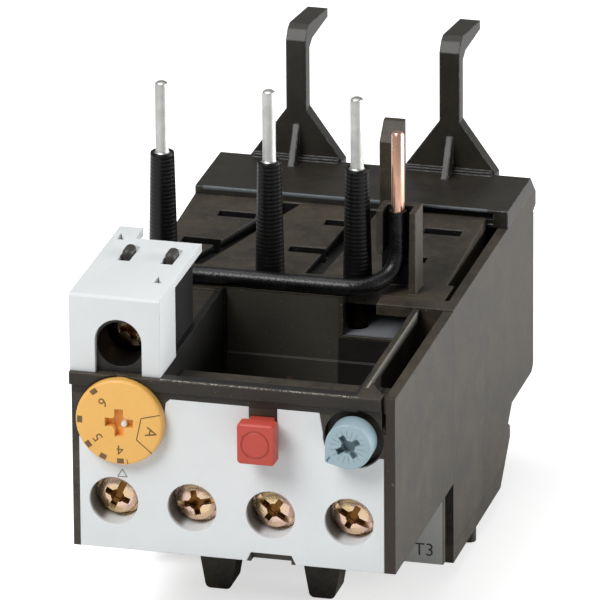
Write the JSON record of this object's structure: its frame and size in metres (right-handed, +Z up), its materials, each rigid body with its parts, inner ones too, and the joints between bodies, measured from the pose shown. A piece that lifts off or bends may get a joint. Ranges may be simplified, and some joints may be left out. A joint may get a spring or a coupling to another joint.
{
  "type": "thermal overload relay",
  "caption": "Plug-on thermal overload relay with setting dial, test button, reset knob, screw terminals, contact pins and rear hooks.",
  "frame": {"origin": "under the middle of the whole part, on the surface that it stands on", "axes": "+X right along the row of terminals, +Y back from the front panel, +Z up along the contact pins"},
  "size_m": [0.045, 0.0952, 0.0672],
  "materials": {
    "black_plastic": "moulded, fine spark-eroded grain",
    "pale_plastic": "moulded, matte",
    "amber_plastic": "moulded, matte",
    "red_plastic": "moulded, matte",
    "blue_plastic": "moulded, satin",
    "yellow_zinc_steel": "yellow passivated zinc",
    "tinned_copper": "satin tin plating",
    "bare_copper": "bright drawn copper",
    "cable_sheath": "glossy insulation",
    "spring_steel": "drawn wire",
    "contact_brass": "stamped strip",
    "bimetal_alloy": "rolled strip",
    "white_plastic": "moulded"
  },
  "bodies": {
    "housing": {"aux_strip_1": "contact_brass", "aux_strip_2": "contact_brass", "aux_strip_3": "contact_brass", "aux_strip_4": "contact_brass", "base_cover": "black_plastic", "bimetal_1": "bimetal_alloy", "bimetal_2": "bimetal_alloy", "bimetal_3": "bimetal_alloy", "coil_bar": "contact_brass", "coil_box": "black_plastic", "coil_shroud": "pale_plastic", "contact_pin_l1": "tinned_copper", "contact_pin_l2": "tinned_copper", "contact_pin_l3": "tinned_copper", "deck_cover": "black_plastic", "front_casing": "black_plastic", "front_panel": "pale_plastic", "heater_1": "spring_steel", "heater_2": "spring_steel", "heater_3": "spring_steel", "lead_conductor": "bare_copper", "lead_insulation": "cable_sheath", "lever_pivot": "spring_steel", "load_bar_t1": "contact_brass", "load_bar_t2": "contact_brass", "load_bar_t3": "contact_brass", "load_terminal_block": "black_plastic", "pin_sleeve_l1": "cable_sheath", "pin_sleeve_l2": "cable_sheath", "pin_sleeve_l3": "cable_sheath", "rear_casing": "black_plastic", "rear_cover": "black_plastic", "reset_spring": "spring_steel", "test_spring": "spring_steel"},
    "dial": {"setting_dial": "amber_plastic"},
    "test_button": {"test_button": "red_plastic"},
    "reset_plunger": {"reset_plunger": "blue_plastic"},
    "reset_knob": {"reset_knob": "blue_plastic"},
    "coil_clamp": {"coil_clamp": "yellow_zinc_steel"},
    "coil_screw": {"coil_screw": "yellow_zinc_steel"},
    "trip_slide": {"trip_slide": "white_plastic"},
    "trip_lever": {"trip_lever": "bimetal_alloy"},
    "contact_carrier": {"contact_carrier": "white_plastic", "contact_bridges": "contact_brass"},
    "load_clamp_t1": {"load_clamp_t1": "yellow_zinc_steel"},
    "load_screw_t1": {"load_screw_t1": "yellow_zinc_steel"},
    "load_clamp_t2": {"load_clamp_t2": "yellow_zinc_steel"},
    "load_screw_t2": {"load_screw_t2": "yellow_zinc_steel"},
    "load_clamp_t3": {"load_clamp_t3": "yellow_zinc_steel"},
    "load_screw_t3": {"load_screw_t3": "yellow_zinc_steel"},
    "aux_clamp_1": {"aux_clamp_1": "yellow_zinc_steel"},
    "aux_screw_1": {"aux_screw_1": "yellow_zinc_steel"},
    "aux_clamp_2": {"aux_clamp_2": "yellow_zinc_steel"},
    "aux_screw_2": {"aux_screw_2": "yellow_zinc_steel"},
    "aux_clamp_3": {"aux_clamp_3": "yellow_zinc_steel"},
    "aux_screw_3": {"aux_screw_3": "yellow_zinc_steel"},
    "aux_clamp_4": {"aux_clamp_4": "yellow_zinc_steel"},
    "aux_screw_4": {"aux_screw_4": "yellow_zinc_steel"}
  },
  "joints": [
    {"name": "dial_turn", "type": "hinge", "parent": "housing", "child": "dial", "pos_m": [-0.0153, -0.04345, 0.0331], "axis": [0, -1, 0], "range_deg": [0, 136]},
    {"name": "test_press", "type": "slide", "parent": "housing", "child": "test_button", "axis": [0, 1, 0], "range_m": [0, 0.0016], "stiffness_N_per_m": 400, "springref_m": -0.001, "deforming": ["test_spring"]},
    {"name": "reset_press", "type": "slide", "parent": "housing", "child": "reset_plunger", "axis": [0, 1, 0], "range_m": [0, 0.0016], "stiffness_N_per_m": 400, "springref_m": -0.001, "deforming": ["reset_spring"]},
    {"name": "reset_turn", "type": "hinge", "parent": "reset_plunger", "child": "reset_knob", "pos_m": [0.01685, -0.04345, 0.03335], "axis": [0, -1, 0], "range_deg": [0, 90]},
    {"name": "coil_screw_travel", "type": "slide", "parent": "housing", "child": "coil_clamp", "axis": [0, 1, 0], "range_m": [0, 0.0033]},
    {"name": "coil_screw_turn", "type": "hinge", "parent": "coil_clamp", "child": "coil_screw", "pos_m": [-0.0157, -0.04345, 0.04345], "axis": [0, 1, 0], "range_deg": [0, 2377]},
    {"name": "load_screw_t1_travel", "type": "slide", "parent": "housing", "child": "load_clamp_t1", "axis": [0, 1, 0], "range_m": [0, 0.0038]},
    {"name": "load_screw_t1_turn", "type": "hinge", "parent": "load_clamp_t1", "child": "load_screw_t1", "pos_m": [-0.016, -0.04345, 0.00925], "axis": [0, 1, 0], "range_deg": [0, 2737]},
    {"name": "load_screw_t2_travel", "type": "slide", "parent": "housing", "child": "load_clamp_t2", "axis": [0, 1, 0], "range_m": [0, 0.0038]},
    {"name": "load_screw_t2_turn", "type": "hinge", "parent": "load_clamp_t2", "child": "load_screw_t2", "pos_m": [-0.0019, -0.04345, 0.00925], "axis": [0, 1, 0], "range_deg": [0, 2737]},
    {"name": "load_screw_t3_travel", "type": "slide", "parent": "housing", "child": "load_clamp_t3", "axis": [0, 1, 0], "range_m": [0, 0.0038]},
    {"name": "load_screw_t3_turn", "type": "hinge", "parent": "load_clamp_t3", "child": "load_screw_t3", "pos_m": [0.0132, -0.04345, 0.00925], "axis": [0, 1, 0], "range_deg": [0, 2737]},
    {"name": "aux_screw_1_travel", "type": "slide", "parent": "housing", "child": "aux_clamp_1", "axis": [0, 1, 0], "range_m": [0, 0.0038]},
    {"name": "aux_screw_1_turn", "type": "hinge", "parent": "aux_clamp_1", "child": "aux_screw_1", "pos_m": [-0.0166, -0.04345, 0.0211], "axis": [0, 1, 0], "range_deg": [0, 2737]},
    {"name": "aux_screw_2_travel", "type": "slide", "parent": "housing", "child": "aux_clamp_2", "axis": [0, 1, 0], "range_m": [0, 0.0038]},
    {"name": "aux_screw_2_turn", "type": "hinge", "parent": "aux_clamp_2", "child": "aux_screw_2", "pos_m": [-0.0057, -0.04345, 0.0211], "axis": [0, 1, 0], "range_deg": [0, 2737]},
    {"name": "aux_screw_3_travel", "type": "slide", "parent": "housing", "child": "aux_clamp_3", "axis": [0, 1, 0], "range_m": [0, 0.0038]},
    {"name": "aux_screw_3_turn", "type": "hinge", "parent": "aux_clamp_3", "child": "aux_screw_3", "pos_m": [0.0052, -0.04345, 0.0211], "axis": [0, 1, 0], "range_deg": [0, 2737]},
    {"name": "aux_screw_4_travel", "type": "slide", "parent": "housing", "child": "aux_clamp_4", "axis": [0, 1, 0], "range_m": [0, 0.0038]},
    {"name": "aux_screw_4_turn", "type": "hinge", "parent": "aux_clamp_4", "child": "aux_screw_4", "pos_m": [0.0161, -0.04345, 0.0211], "axis": [0, 1, 0], "range_deg": [0, 2737]},
    {"name": "trip_slide_move", "type": "slide", "parent": "housing", "child": "trip_slide", "axis": [-1, 0, 0], "range_m": [0, 0.0015]},
    {"name": "trip_lever_turn", "type": "hinge", "parent": "housing", "child": "trip_lever", "pos_m": [-0.01675, -0.01305, 0.02105], "axis": [0, 0, 1], "range_deg": [0, 8.3]},
    {"name": "carrier_move", "type": "slide", "parent": "housing", "child": "contact_carrier", "axis": [1, 0, 0], "range_m": [0, 0.00135]}
  ],
  "couplings": [
    {"joint": "coil_screw_turn", "follows": "coil_screw_travel", "rad_per_m": 12566},
    {"joint": "load_screw_t1_turn", "follows": "load_screw_t1_travel", "rad_per_m": 12566},
    {"joint": "load_screw_t2_turn", "follows": "load_screw_t2_travel", "rad_per_m": 12566},
    {"joint": "load_screw_t3_turn", "follows": "load_screw_t3_travel", "rad_per_m": 12566},
    {"joint": "aux_screw_1_turn", "follows": "aux_screw_1_travel", "rad_per_m": 12566},
    {"joint": "aux_screw_2_turn", "follows": "aux_screw_2_travel", "rad_per_m": 12566},
    {"joint": "aux_screw_3_turn", "follows": "aux_screw_3_travel", "rad_per_m": 12566},
    {"joint": "aux_screw_4_turn", "follows": "aux_screw_4_travel", "rad_per_m": 12566},
    {"joint": "trip_lever_turn", "follows": "trip_slide_move", "rad_per_m": 96.154},
    {"joint": "carrier_move", "follows": "trip_slide_move", "ratio": 0.84615}
  ]
}
